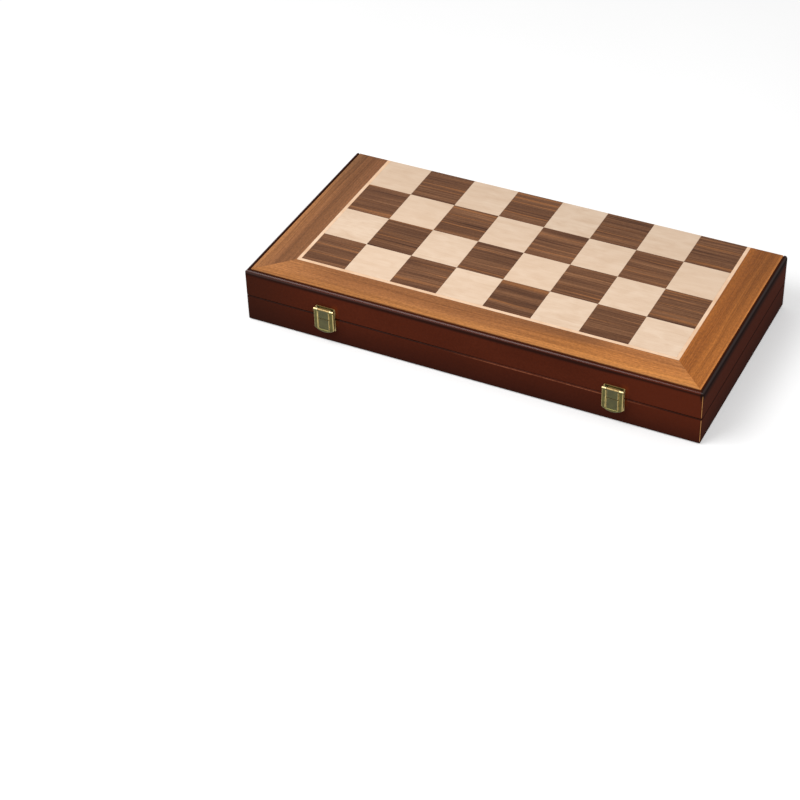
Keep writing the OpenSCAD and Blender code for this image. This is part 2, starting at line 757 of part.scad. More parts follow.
module queen() {
    rim = head_z[type_queen];
    rim_top = rim + crown_rim_round[type_queen];
    well_r = crown_rim_r[type_queen] - coronet_w;
    difference() {
        rotate_extrude() {
            difference() {
                union() {
                    stem_profile(type_queen, collar_z[type_queen] + crown_waist[0][1]);
                    crown_profile(type_queen);
                }
                translate([crown_dome_r, rim - coronet_deep]) square([well_r - crown_dome_r, overrun * 2]);
            }
            translate([0, rim]) square([queen_stalk_r, queen_h - queen_ball_r - rim]);
            ball_profile(queen_ball_r, queen_h - queen_ball_r);
        }
        for (k = [0:coronet_notches - 1])
            rotate([0, 0, 360 * (k + 0.5) / coronet_notches]) translate([well_r - overrun, 0, rim_top])
                rotate([0, 90, 0]) cylinder(h = coronet_w + 2 * overrun, r = coronet_notch_r);
    }
}

module bishop() {
    belly_z = head_z[type_bishop];
    difference() {
        rotate_extrude() {
            stem_profile(type_bishop, belly_z);
            // The mitre: a round belly that runs up into a point
            intersection() {
                translate([0, belly_z - mitre_belly_r]) square([mitre_belly_r, bishop_h]);
                translate([mitre_belly_r - mitre_r, belly_z]) circle(mitre_r);
                union() {
                    translate([0, belly_z]) square([mitre_belly_r, mitre_point]);
                    translate([0, belly_z]) circle(mitre_belly_r);
                }
            }
            ball_profile(mitre_ball_r, bishop_h - mitre_ball_r);
        }
        translate([mitre_cut[0], 0, belly_z + mitre_cut[1]]) rotate([0, -mitre_cut_lean, 0])
            cube([2 * mitre_belly_r - 2 * mitre_cut[0] + overrun, 2 * mitre_r, mitre_cut_w], center = true);
    }
}

module rook() {
    collar = collar_z[type_rook];
    difference() {
        rotate_extrude() {
            stem_profile(type_rook, collar);
            polygon([[0, collar - tower_flare], [neck_r[type_rook], collar - tower_flare],
                     [tower_r - tower_lip[0][0], collar + tower_lip[0][1]],
                     [tower_r - tower_lip[1][0], collar + tower_lip[1][1]],
                     [tower_r, rook_h], [0, rook_h]]);
        }
        translate([0, 0, rook_h - tower_deep])
            cylinder(h = tower_deep + overrun, r = tower_r - tower_wall);
        for (turn = [0, 60, 120])
            rotate([0, 0, turn])
                translate([-tower_r - overrun, -tower_kerf_w / 2, rook_h - tower_kerf_h])
                    cube([2 * (tower_r + overrun), tower_kerf_w, tower_kerf_h + overrun]);
    }
}

module pawn() {
    rotate_extrude() {
        stem_profile(type_pawn, head_z[type_pawn]);
        ball_profile(pawn_ball_r, head_z[type_pawn]);
    }
}

// Where the line from a point runs on into a circle of middle and radius, on its right
function touching(point, circle) =
    let (mid = [circle[0], circle[1]], run = point - mid, turn = acos(circle[2] / norm(run)),
         angle = atan2(run[1], run[0]) - turn)
    mid + (circle[2] - line_sink) * [cos(angle), sin(angle)];

// Inside of the line up the mane and over the crest, drawn in by an inset
module mane_side(low, top, inset) {
    intersection() {
        translate([mane_mid[0], top + mane_mid[1]]) circle(mane_r - inset, $fn = 240);
        union() {
            translate([crest_x, top - crest_r]) circle(crest_r - inset, $fn = 96);
            translate([-knight_back, low]) square([2 * knight_back, top + crest_end - low]);
        }
    }
}

// Neck below the throat, with the round breast, drawn in by an inset at its front
module knight_breast(low, top, inset) {
    throat_in = throat + [-inset, top];
    arc = [breast[0], low + breast[1], breast[2] - inset];
    polygon([[-knight_back, low], [breast[0], low], touching(throat_in, arc), throat_in,
             [-knight_back, throat_in[1]]]);
    translate([arc[0], arc[1]]) circle(arc[2]);
}

// Side view of the knight's head and neck: x forwards, y up from the ring to the top
module knight_outline(low, top) {
    rise = [0, top];
    nose_arc = [nose[0], top + nose[1], nose[2]];
    intersection() {
        mane_side(low, top, 0);
        union() {
            knight_breast(low, top, 0);
            polygon([[-knight_back, top + throat[1] - overrun], [throat[0], top + throat[1] - overrun],
                     throat + rise, [chin[0], top + chin[1] - chin[2]], [nose[0] + nose[2], top + nose[1]],
                     touching(brow + rise, nose_arc), brow + rise, forelock[1] + rise, forelock[0] + rise,
                     [-knight_back, top]]);
            translate([nose[0], top + nose[1]]) circle(nose[2]);
            translate([chin[0], top + chin[1]]) circle(chin[2]);
        }
    }
}

// Hollow of the neck: within the mane and breast, round at its foot, and behind the jaw
module knight_hollow(low, top) {
    foot_z = low + hollow_foot + hollow_foot_r;
    difference() {
        intersection() {
            mane_side(low, top, mane_w);
            union() {
                knight_breast(low, top, breast_w);
                translate([-knight_back, top + throat[1] - overrun]) square([2 * knight_back, top]);
            }
            union() {
                translate([0, foot_z]) circle(hollow_foot_r);
                translate([-knight_back, foot_z]) square([2 * knight_back, top]);
            }
        }
        translate([jaw[0], top + jaw[1]]) circle(jaw[2]);
        translate([jaw[0], top + jaw[1] - jaw[2]]) square([knight_back, top]);
    }
}

// Front view of the knight: two long arcs from the ring up to the crest
module knight_front(low, top) {
    mid_z = low + flank_rise;
    narrow = flank_half - crest_half;
    flank_r = (pow(top - mid_z, 2) + narrow * narrow) / (2 * narrow);
    intersection() {
        translate([-flank_half, low]) square([2 * flank_half, top - low]);
        translate([flank_half - flank_r, mid_z]) circle(flank_r, $fn = 360);
        translate([flank_r - flank_half, mid_z]) circle(flank_r, $fn = 360);
    }
}

module knight() {
    low = shoulder_z(type_knight) + knight_ring_half;
    top = knight_h;
    ring_r = radii[type_knight] * ring_share;
    neck_foot_r = ring_r + knight_ring_over - knight_ring_half;
    difference() {
        union() {
            rotate_extrude() {
                foot_profile(type_knight);
                disc_profile(ring_r + knight_ring_over, low, knight_ring_half);
            }
            intersection() {
                rotate([90, 0, 0]) translate([0, 0, -ring_r]) linear_extrude(2 * ring_r)
                    knight_outline(low, top);
                rotate([90, 0, 90]) translate([0, 0, -mane_r]) linear_extrude(2 * mane_r)
                    knight_front(low, top);
                for (side = [-1, 1])
                    translate([cheek_x, side * (cheek_r - ring_r), low])
                        cylinder(h = top, r = cheek_r, $fn = 120);
                // The foot of the neck widens upwards from the ring at 45 degrees
                translate([0, 0, low])
                    cylinder(h = top - low, r1 = neck_foot_r, r2 = neck_foot_r + top - low);
            }
        }
        for (side = [-1, 1]) {
            translate([0, side > 0 ? neck_half + ring_r : -neck_half, 0]) rotate([90, 0, 0])
                linear_extrude(ring_r) knight_hollow(low, top);
            translate([knight_mouth[0], side * knight_mouth[1], top + knight_mouth[2]])
                rotate([0, -knight_mouth_lean, 0]) cube(knight_mouth_size, center = true);
            translate([knight_nostril[0], side * knight_nostril[1], top + knight_nostril[2]])
                sphere(knight_nostril_r);
        }
    }
    for (side = [-1, 1])
        translate([knight_eye[0], side * knight_eye[1], top + knight_eye[2]]) sphere(knight_eye_r);
}

module man(type) {
    if (type == type_king) king();
    if (type == type_queen) queen();
    if (type == type_bishop) bishop();
    if (type == type_knight) knight();
    if (type == type_rook) rook();
    if (type == type_pawn) pawn();
}

module pad(type) cylinder(h = pad_t, r = radii[type] - foot_h(type) / 2);

// Lays upright men of one type, or all of them, in their slots on one side of the box
module lay(side, type) {
    for (c = [0:len(columns) - 1], k = [0:len(columns[c]) - 1])
        if (columns[c][k] == type)
            translate([side * (c + 0.5) * column_pitch,
                       slot_y(columns[c], k) + slot_gap + radii[type] * sin(tilt(type)),
                       floor_z + touch + rest_lift(type)])
                rotate([-90 - tilt(type), 0, 0]) children();
}

module pads(side) for (type = types) lay(side, type) pad(type);

// Tray with a fitted slot for each man: wide at its foot and narrow at its head
module slot_outline(type) {
    wide = max(radii[type], slot_head_r[type]) + slot_gap;
    narrow = max(slot_head_r[type], slot_head_min) + slot_gap;
    rounded_rect([-wide, 0], [wide, slot_l(type) * man_slot_share], slot_r);
    rounded_rect([-narrow, 0], [narrow, slot_l(type)], slot_r);
}

module tray(side) {
    translate([0, 0, floor_z + touch]) linear_extrude(tray_h) difference() {
        translate([side > 0 ? tray_gap / 2 : -side_in + lining_fit, tray_front])
            square([side_in - lining_fit - tray_gap / 2, tray_back - tray_front]);
        for (c = [0:len(columns) - 1], k = [0:len(columns[c]) - 1])
            translate([side * (c + 0.5) * column_pitch, slot_y(columns[c], k)])
                slot_outline(columns[c][k]);
    }
}

// ---------------------------------------------------------------- the pieces

module lacquer() color([0.30, 0.11, 0.07]) children();
module core_board() color([0.16, 0.08, 0.06]) children();
module walnut() color([0.40, 0.27, 0.18]) children();
module maple() color([0.89, 0.79, 0.66]) children();
module border_wood() color([0.66, 0.43, 0.24]) children();
module line_wood() color([0.94, 0.82, 0.66]) children();
module green_felt() color([0.08, 0.26, 0.15]) children();
module brass() color([0.70, 0.58, 0.30]) children();
module boxwood() color([0.91, 0.80, 0.60]) children();
module dark_wood() color([0.28, 0.12, 0.08]) children();

module base_front_wall() lacquer() on_base() front_wall() mirror([0, 0, 1]) latch_holes(catch_screw_z);
module base_back_wall() lacquer() on_base() back_wall();
module base_left_wall() lacquer() on_base() side_wall();
module base_right_wall() lacquer() on_base() mirror([1, 0, 0]) side_wall();
module base_panel() core_board() on_base() panel();
module base_dark_squares() walnut() on_base() squares(1);
module base_light_squares() maple() on_base() squares(0);
module base_border_veneer() border_wood() on_base() border_veneer();
module base_inlaid_line() line_wood() on_base() inlaid_line();
module base_felt() green_felt() on_base() felt();

module lid_front_wall() lacquer() on_lid() front_wall() latch_holes(plate_screw_z);
module lid_back_wall() lacquer() on_lid() back_wall();
module lid_left_wall() lacquer() on_lid() side_wall();
module lid_right_wall() lacquer() on_lid() mirror([1, 0, 0]) side_wall();
module lid_panel() core_board() on_lid() panel();
module lid_dark_squares() walnut() on_lid() squares(0);
module lid_light_squares() maple() on_lid() squares(1);
module lid_border_veneer() border_wood() on_lid() border_veneer();
module lid_inlaid_line() line_wood() on_lid() inlaid_line();
module lid_felt() green_felt() on_lid() felt();

module light_tray() green_felt() tray(-1);
module dark_tray() green_felt() tray(1);

module left_hinge_base_leaf() brass() at_hinge(-1) on_base() hinge_leaf(0);
module left_hinge_lid_leaf() brass() at_hinge(-1) on_lid() hinge_leaf(1);
module left_hinge_pin() brass() at_hinge(-1) hinge_pin();
module left_hinge_base_screws() brass() at_hinge(-1) on_base() leaf_screws_set();
module left_hinge_lid_screws() brass() at_hinge(-1) on_lid() leaf_screws_set();
module right_hinge_base_leaf() brass() at_hinge(1) on_base() hinge_leaf(0);
module right_hinge_lid_leaf() brass() at_hinge(1) on_lid() hinge_leaf(1);
module right_hinge_pin() brass() at_hinge(1) hinge_pin();
module right_hinge_base_screws() brass() at_hinge(1) on_base() leaf_screws_set();
module right_hinge_lid_screws() brass() at_hinge(1) on_lid() leaf_screws_set();

module plate_screws() latch_screw_places(plate_screw_z) screw(latch_head_r, latch_screw_r, latch_screw_l);
module catch_screws() latch_screw_places(catch_screw_z) screw(latch_head_r, latch_screw_r, latch_screw_l);

module left_latch_plate() brass() at_latch(-1) latch_plate();
module left_latch_plate_screws() brass() at_latch(-1) plate_screws();
module left_latch_pin() brass() at_latch(-1) latch_pin();
module left_hasp() brass() at_latch(-1) hasp();
module left_catch() brass() at_latch(-1) catch_plate();
module left_catch_screws() brass() at_latch(-1) catch_screws();
module right_latch_plate() brass() at_latch(1) latch_plate();
module right_latch_plate_screws() brass() at_latch(1) plate_screws();
module right_latch_pin() brass() at_latch(1) latch_pin();
module right_hasp() brass() at_latch(1) hasp();
module right_catch() brass() at_latch(1) catch_plate();
module right_catch_screws() brass() at_latch(1) catch_screws();

module light_king() boxwood() lay(-1, type_king) man(type_king);
module light_queen() boxwood() lay(-1, type_queen) man(type_queen);
module light_bishops() boxwood() lay(-1, type_bishop) man(type_bishop);
module light_knights() boxwood() lay(-1, type_knight) man(type_knight);
module light_rooks() boxwood() lay(-1, type_rook) man(type_rook);
module light_pawns() boxwood() lay(-1, type_pawn) man(type_pawn);
module light_pads() green_felt() pads(-1);
module dark_king() dark_wood() lay(1, type_king) man(type_king);
module dark_queen() dark_wood() lay(1, type_queen) man(type_queen);
module dark_bishops() dark_wood() lay(1, type_bishop) man(type_bishop);
module dark_knights() dark_wood() lay(1, type_knight) man(type_knight);
module dark_rooks() dark_wood() lay(1, type_rook) man(type_rook);
module dark_pawns() dark_wood() lay(1, type_pawn) man(type_pawn);
module dark_pads() green_felt() pads(1);

base_front_wall();
base_back_wall();
base_left_wall();
base_right_wall();
base_panel();
base_dark_squares();
base_light_squares();
base_border_veneer();
base_inlaid_line();
base_felt();
lid_front_wall();
lid_back_wall();
lid_left_wall();
lid_right_wall();
lid_panel();
lid_dark_squares();
lid_light_squares();
lid_border_veneer();
lid_inlaid_line();
lid_felt();
light_tray();
dark_tray();
left_hinge_base_leaf();
left_hinge_lid_leaf();
left_hinge_pin();
left_hinge_base_screws();
left_hinge_lid_screws();
right_hinge_base_leaf();
right_hinge_lid_leaf();
right_hinge_pin();
right_hinge_base_screws();
right_hinge_lid_screws();
left_latch_plate();
left_latch_plate_screws();
left_latch_pin();
left_hasp();
left_catch();
left_catch_screws();
right_latch_plate();
right_latch_plate_screws();
right_latch_pin();
right_hasp();
right_catch();
right_catch_screws();
light_king();
light_queen();
light_bishops();
light_knights();
light_rooks();
light_pawns();
light_pads();
dark_king();
dark_queen();
dark_bishops();
dark_knights();
dark_rooks();
dark_pawns();
dark_pads();
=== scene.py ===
"""Looks of a folding chess box: veneers, lacquer, brass, felt and turned wood on the fixed frame.

Every material is procedural and is placed by the part's own coordinates at rest. Colours are
written as display values from 0 to 255, lengths in metres or as millimetres times MM. A mask
rises from 0 to 1 between two places on the box, or between two levels of a noise.
"""

import bpy
from mathutils import Matrix, Vector

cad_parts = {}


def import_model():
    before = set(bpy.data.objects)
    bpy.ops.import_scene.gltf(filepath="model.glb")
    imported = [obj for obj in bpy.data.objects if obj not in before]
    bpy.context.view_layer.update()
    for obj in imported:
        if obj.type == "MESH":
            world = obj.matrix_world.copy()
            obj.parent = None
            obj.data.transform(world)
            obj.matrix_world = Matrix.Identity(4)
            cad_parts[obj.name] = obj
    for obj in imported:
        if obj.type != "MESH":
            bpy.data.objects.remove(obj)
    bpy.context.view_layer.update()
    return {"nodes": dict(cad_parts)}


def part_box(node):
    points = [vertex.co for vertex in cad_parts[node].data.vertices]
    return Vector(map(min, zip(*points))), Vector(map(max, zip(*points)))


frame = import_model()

MM = 0.001
NODES = frame["nodes"]

# ------------------------------------------------------------------ sizes read from the frame

LID_LOW, LID_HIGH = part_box("lid_front_wall")
WALL_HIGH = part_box("base_left_wall")[1]
LINE_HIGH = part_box("lid_inlaid_line")[1]
SQUARES_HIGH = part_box("lid_light_squares")[1]
BORDER_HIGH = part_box("lid_border_veneer")[1]
LEFT_LOW, LEFT_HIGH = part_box("left_latch_plate")
RIGHT_LOW, RIGHT_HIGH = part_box("right_latch_plate")

BOX_X = LID_HIGH.x                              # the front's right end, at the corner's bevel
FRONT_Y = LID_LOW.y
BACK_Y = WALL_HIGH.y
TOP_Z = LID_HIGH.z
SEAM_Z = TOP_Z / 2                              # where the lid meets the base
FIELD_X = (LINE_HIGH.x + SQUARES_HIGH.x) / 2    # half the length of the field of squares
SQUARE = FIELD_X / 4
FIELD_Y = BACK_Y - 4 * SQUARE                   # front edge of the field
BORDER_W = BORDER_HIGH.x - FIELD_X              # width of a border strip
LEFT_X = (LEFT_LOW.x + LEFT_HIGH.x) / 2         # middle of the left latch
RIGHT_X = (RIGHT_LOW.x + RIGHT_HIGH.x) / 2      # middle of the right latch
PLATE_X = (LEFT_HIGH.x - LEFT_LOW.x) / 2        # half the width of a latch plate


# ------------------------------------------------------------------ shader building

def srgb(red, green, blue):
    """Display values from 0 to 255 as the linear colour that shaders take."""
    def linear(value):
        value /= 255
        return value / 12.92 if value <= 0.04045 else ((value + 0.055) / 1.055) ** 2.4
    return (linear(red), linear(green), linear(blue), 1.0)


def tones(*stops):
    """Stops of a ramp, each given as its place from 0 to 1 and its display values."""
    return [(place, srgb(*colour)) for place, *colour in stops]


class Paint:
    """One material, with short calls that add nodes to it."""

    def __init__(self, name, roughness=0.5, specular=0.5, metallic=0.0, coat=0.0, coat_rough=0.1):
        self.material = bpy.data.materials.new(name)
        self.material.use_nodes = True
        self.nodes = self.material.node_tree.nodes
        self.links = self.material.node_tree.links
        self.shader = self.nodes["Principled BSDF"]
        self.shader.inputs["Roughness"].default_value = roughness
        self.shader.inputs["Specular IOR Level"].default_value = specular
        self.shader.inputs["Metallic"].default_value = metallic
        self.shader.inputs["Coat Weight"].default_value = coat
        self.shader.inputs["Coat Roughness"].default_value = coat_rough

    def feed(self, value, socket):
        """Links an output to a socket, or sets the socket's own value."""
        if isinstance(value, bpy.types.NodeSocket):
            self.links.new(value, socket)
        else:
            socket.default_value = value

    # Places and directions

    def place(self):
        """Coordinates in the part's frame at rest, in metres: the vector and its X, Y and Z."""
        vector = self.nodes.new("ShaderNodeTexCoord").outputs["Object"]
        split = self.nodes.new("ShaderNodeSeparateXYZ")
        self.feed(vector, split.inputs[0])
        return vector, split.outputs[0], split.outputs[1], split.outputs[2]

    def facing(self):
        """The piece's own surface direction at rest, as X, Y and Z."""
        split = self.nodes.new("ShaderNodeSeparateXYZ")
        self.feed(self.nodes.new("ShaderNodeTexCoord").outputs["Normal"], split.inputs[0])
        return split.outputs[0], split.outputs[1], split.outputs[2]

    def vector(self, x, y, z):
        node = self.nodes.new("ShaderNodeCombineXYZ")
        for value, socket in zip((x, y, z), node.inputs):
            self.feed(value, socket)
        return node.outputs[0]

    def shifted(self, vector, by):
        node = self.nodes.new("ShaderNodeVectorMath")
        node.operation = "ADD"
        self.feed(vector, node.inputs[0])
        self.feed(by, node.inputs[1])
        return node.outputs[0]

    def scaled(self, vector, x, y, z):
        node = self.nodes.new("ShaderNodeVectorMath")
        node.operation = "MULTIPLY"
        self.feed(vector, node.inputs[0])
        node.inputs[1].default_value = (x, y, z)
        return node.outputs[0]

    def either_vector(self, choice, first, second):
        """The first vector where the choice is 0, the second where it is 1."""
        node = self.nodes.new("ShaderNodeMix")
        node.data_type = "VECTOR"
        self.feed(choice, node.inputs[0])
        self.feed(first, node.inputs[4])
        self.feed(second, node.inputs[5])
        return node.outputs[1]

    # Values

    def math(self, operation, first, second=0.0):
        node = self.nodes.new("ShaderNodeMath")
        node.operation = operation
        self.feed(first, node.inputs[0])
        self.feed(second, node.inputs[1])
        return node.outputs[0]

    def plus(self, first, second):
        return self.math("ADD", first, second)

    def minus(self, first, second):
        return self.math("SUBTRACT", first, second)

    def times(self, first, second):
        return self.math("MULTIPLY", first, second)

    def inverse(self, value):
        """1 where the value is 0, and 0 where it is 1."""
        return self.minus(1.0, value)

    def absolute(self, value):
        return self.math("ABSOLUTE", value)

    def greater(self, first, second):
        """1 where the first is greater than the second, elsewhere 0."""
        return self.math("GREATER_THAN", first, second)

    def less(self, first, second):
        """1 where the first is less than the second, elsewhere 0."""
        return self.math("LESS_THAN", first, second)

    def least(self, first, second):
        return self.math("MINIMUM", first, second)

    def spread(self, value, at_zero, at_one):
        """A value from 0 to 1, spread evenly between two others."""
        return self.plus(self.times(value, at_one - at_zero), at_zero)

    def blend(self, first, share, second):
        """Two values in one: this share of the first, and the rest of the second."""
        return self.plus(self.times(first, share), self.times(second, 1 - share))

    def rise(self, value, low, high):
        """Smooth step up: 0 where the value is below low, 1 above high."""
        node = self.nodes.new("ShaderNodeMapRange")
        node.interpolation_type = "SMOOTHSTEP"
        self.feed(value, node.inputs["Value"])
        self.feed(low, node.inputs["From Min"])
        self.feed(high, node.inputs["From Max"])
        return node.outputs[0]

    def fall(self, value, low, high):
        """Smooth step down: 1 where the value is below low, 0 above high."""
        return self.inverse(self.rise(value, low, high))

    def within(self, value, low, high, soft):
        """1 between low and high, falling to 0 over a soft distance outside them."""
        return self.times(self.rise(value, low - soft, low), self.fall(value, high, high + soft))

    # Textures

    def noise(self, vector, scale=1.0, detail=2.0, rough=0.5, distortion=0.0):
        node = self.nodes.new("ShaderNodeTexNoise")
        self.feed(vector, node.inputs["Vector"])
        node.inputs["Scale"].default_value = scale
        node.inputs["Detail"].default_value = detail
        node.inputs["Roughness"].default_value = rough
        node.inputs["Distortion"].default_value = distortion
        return node.outputs["Fac"]

    def streaks(self, vector, along, across, detail=3.0, rough=0.55, distortion=0.0):
        """Noise drawn out along X of the vector: its length along and across, in metres."""
        return self.noise(self.scaled(vector, 1 / along, 1 / across, 1 / across),
                          detail=detail, rough=rough, distortion=distortion)

    def random(self, vector):
        """A random value and a random colour for each different vector."""
        node = self.nodes.new("ShaderNodeTexWhiteNoise")
        self.feed(vector, node.inputs["Vector"])
        return node.outputs["Value"], node.outputs["Color"]

    # Colours

    def ramp(self, value, stops):
        node = self.nodes.new("ShaderNodeValToRGB")
        self.feed(value, node.inputs[0])
        elements = node.color_ramp.elements
        while len(elements) < len(stops):
            elements.new(0.5)
        for element, (position, colour) in zip(elements, stops):
            element.position = position
            element.color = colour
        return node.outputs["Color"]

    def mix(self, amount, first, second, blend="MIX"):
        node = self.nodes.new("ShaderNodeMix")
        node.data_type = "RGBA"
        node.blend_type = blend
        self.feed(amount, node.inputs[0])
        self.feed(first, node.inputs[6])
        self.feed(second, node.inputs[7])
        return node.outputs[2]

    def glaze(self, ground, colour, mask, amount):
        """The ground with a colour laid over it, by the amount where the mask is 1."""
        return self.mix(self.times(mask, amount), ground, colour)

    def shaded(self, colour, factor):
        """The colour with its three channels multiplied by one factor."""
        return self.mix(1.0, colour, self.vector(factor, factor, factor), "MULTIPLY")

    # The shader's own inputs

    def colour(self, value):
        self.feed(value, self.shader.inputs["Base Color"])

    def roughness(self, value):
        self.feed(value, self.shader.inputs["Roughness"])

    def coat(self, value):
        self.feed(value, self.shader.inputs["Coat Weight"])

    def bump(self, height, distance, strength):
        node = self.nodes.new("ShaderNodeBump")
        node.inputs["Strength"].default_value = strength
        node.inputs["Distance"].default_value = distance
        self.feed(height, node.inputs["Height"])
        self.feed(node.outputs[0], self.shader.inputs["Normal"])


def nearest_latch(p, x):
    """X of the middle of the latch on this side of the box."""
    return p.spread(p.greater(x, 0.0), LEFT_X, RIGHT_X)


# ------------------------------------------------------------------ squares and inlaid line

WALNUT = tones((0.30, 60, 36, 24), (0.42, 93, 60, 40), (0.53, 116, 78, 53), (0.64, 142, 99, 68),
               (0.78, 166, 119, 82))
WALNUT_TAN = srgb(166, 108, 62)
WALNUT_VEIN = srgb(58, 36, 25)
WALNUT_PORE = srgb(60, 38, 26)
MAPLE = tones((0.30, 216, 186, 158), (0.50, 227, 200, 174), (0.70, 236, 212, 188))
MAPLE_FLECK = srgb(200, 166, 132)
MAPLE_WARM = srgb(230, 198, 168)
INLAY = tones((0.30, 228, 186, 149), (0.70, 243, 210, 179))
CORE = tones((0.3, 62, 29, 12), (0.7, 78, 38, 17))

CELL_SHIFT = 3.0    # how far the wood's pattern is moved from one square to the next, at most


def square_cells(p, vector, x, y):
    """A random value for each square of the board, and coordinates with a pattern of its own."""
    cell = p.vector(p.math("FLOOR", p.math("DIVIDE", p.plus(x, FIELD_X), SQUARE)),
                    p.math("FLOOR", p.math("DIVIDE", p.minus(y, FIELD_Y), SQUARE)),
                    0.5)
    value, colour = p.random(cell)
    return value, p.shifted(vector, p.scaled(colour, CELL_SHIFT, CELL_SHIFT, CELL_SHIFT))


def walnut_squares():
    """Dark squares: brown walnut with many fine streaks along X, and tan and dark ones between."""
    p = Paint("walnut_squares", roughness=0.45, specular=0.07)
    vector, x, y, _ = p.place()
    value, cell = square_cells(p, vector, x, y)
    wave = p.times(p.noise(cell, scale=14.0), 4 * MM)
    bent = p.shifted(cell, p.vector(0.0, wave, 0.0))
    bands = p.streaks(bent, 260 * MM, 8 * MM, detail=2.0)
    lines = p.streaks(bent, 110 * MM, 1.3 * MM, rough=0.65)
    tan = p.rise(p.streaks(bent, 300 * MM, 4 * MM, detail=2.0), 0.58, 0.66)
    veins = p.rise(p.streaks(bent, 220 * MM, 0.9 * MM, detail=2.0), 0.60, 0.67)
    pores = p.rise(p.streaks(bent, 7 * MM, 0.35 * MM, detail=2.0), 0.60, 0.72)
    speckle = p.rise(p.streaks(bent, 2.6 * MM, 1.0 * MM, rough=0.7), 0.34, 0.66)
    wood = p.ramp(p.blend(bands, 0.40, lines), WALNUT)
    wood = p.glaze(wood, WALNUT_TAN, tan, 0.60)
    wood = p.glaze(wood, WALNUT_VEIN, veins, 0.45)
    wood = p.glaze(wood, WALNUT_PORE, pores, 0.30)
    p.colour(p.shaded(wood, p.times(p.spread(value, 0.90, 1.06), p.spread(speckle, 0.87, 1.13))))
    p.bump(p.minus(lines, p.times(pores, 0.5)), 0.03 * MM, 0.35)
    return p.material


def maple_squares():
    """Light squares: cream maple with a faint cloudy figure, a little darker towards the back."""
    p = Paint("maple_squares", roughness=0.45, specular=0.08)
    vector, x, y, _ = p.place()
    value, cell = square_cells(p, vector, x, y)
    figure = p.streaks(cell, 22 * MM, 9 * MM, rough=0.5, distortion=0.6)
    fine = p.streaks(cell, 30 * MM, 1.2 * MM, rough=0.6)
    flecks = p.rise(p.streaks(cell, 3 * MM, 0.5 * MM, detail=1.0), 0.62, 0.74)
    wood = p.ramp(p.blend(figure, 0.6, fine), MAPLE)
    wood = p.glaze(wood, MAPLE_FLECK, flecks, 0.22)
    wood = p.glaze(wood, MAPLE_WARM, value, 0.35)
    p.colour(p.shaded(wood, p.spread(p.rise(y, -40 * MM, 150 * MM), 1.0, 0.88)))
    p.bump(fine, 0.02 * MM, 0.25)
    return p.material


def inlay():
    """The light line: pale wood with a fine even grain."""
    p = Paint("inlay", roughness=0.45, specular=0.08)
    vector = p.place()[0]
    fine = p.noise(p.scaled(vector, 60.0, 60.0, 60.0), detail=3.0, rough=0.6)
    p.colour(p.ramp(fine, INLAY))
    p.bump(fine, 0.02 * MM, 0.2)
    return p.material


def core_board():
    """Panels behind the veneers: stained brown, seen only in the groove."""
    p = Paint("core_board", roughness=0.6, specular=0.05)
    grain = p.streaks(p.place()[0], 60 * MM, 2 * MM)
    p.colour(p.ramp(grain, CORE))
    p.bump(grain, 0.05 * MM, 0.2)
    return p.material


# ------------------------------------------------------------------ border strips

# Tones across a strip, from the squares at 0 to the box's edge at 1
FRONT_STRIP = tones((0.0, 140, 89, 50), (0.45, 150, 95, 53), (0.66, 156, 100, 56),
                    (0.86, 186, 123, 68), (1.0, 190, 126, 69))
LEFT_STRIP = tones((0.0, 138, 91, 57), (0.30, 132, 86, 52), (0.50, 123, 79, 47),
                   (0.66, 148, 97, 59), (1.0, 166, 111, 66))
LEFT_STRIP_BACK = tones((0.0, 110, 68, 42), (0.33, 129, 83, 50), (0.60, 122, 77, 44),
                        (1.0, 124, 84, 52))
RIGHT_STRIP = tones((0.0, 154, 91, 37), (0.35, 145, 84, 34), (0.60, 150, 89, 37),
                    (0.94, 150, 89, 37), (1.0, 190, 119, 60))
STRIP_ORANGE = srgb(188, 117, 48)
STRIP_PALE = srgb(204, 138, 82)
STRIP_SMOKE = srgb(104, 64, 36)
STRIP_LIGHT = srgb(206, 132, 72)
STRIP_PORE = srgb(98, 58, 34)
# Factors on the three channels, from the darkest streaks to the lightest
STREAK_SHADE = [(0.32, (0.54, 0.48, 0.42, 1)), (0.44, (0.84, 0.81, 0.76, 1)),
                (0.54, (1.07, 1.07, 1.07, 1)), (0.68, (1.32, 1.33, 1.34, 1))]

FRONT_SHIFT, SIDE_SHIFT = 5.0, 9.0    # keep the patterns of the strips apart

# Stretches of the strips over which a tone comes or goes, along X in front and Y at the sides
FRONT_FAR_LEFT = (-220 * MM, -140 * MM)
FRONT_TO_RIGHT = (-20 * MM, 150 * MM)
FRONT_SMOKE_END = (110 * MM, 150 * MM)
FRONT_RIGHT_END = (105 * MM, 155 * MM)
LEFT_TO_HINGES = (0.0, 130 * MM)
RIGHT_TO_HINGES = (-70 * MM, 110 * MM)


def front_strip(p, run, x, lines):
    """Tones of the front strip: pale at the far left, and towards the right more orange outside
    and smokier inside, up to a light right end. Its outer edge is rubbed darker."""
    to_right = p.rise(x, *FRONT_TO_RIGHT)
    orange = p.times(to_right, p.within(run, 0.50, 0.80, 0.25))
    smoke = p.times(to_right, p.fall(run, 0.15, 0.50))
    smoke = p.times(smoke, p.fall(x, *FRONT_SMOKE_END))
    smoke = p.times(smoke, p.rise(lines, 0.46, 0.60))
    right_end = p.times(p.rise(x, *FRONT_RIGHT_END), p.fall(run, 0.66, 0.78))
    wood = p.glaze(p.ramp(run, FRONT_STRIP), STRIP_ORANGE, orange, 0.40)
    wood = p.glaze(wood, STRIP_PALE, p.fall(x, *FRONT_FAR_LEFT), 0.35)
    wood = p.shaded(wood, p.spread(p.rise(run, 0.955, 1.0), 1.0, 0.62))
    wood = p.glaze(wood, STRIP_SMOKE, smoke, 0.60)
    return p.glaze(wood, STRIP_LIGHT, right_end, 0.35)


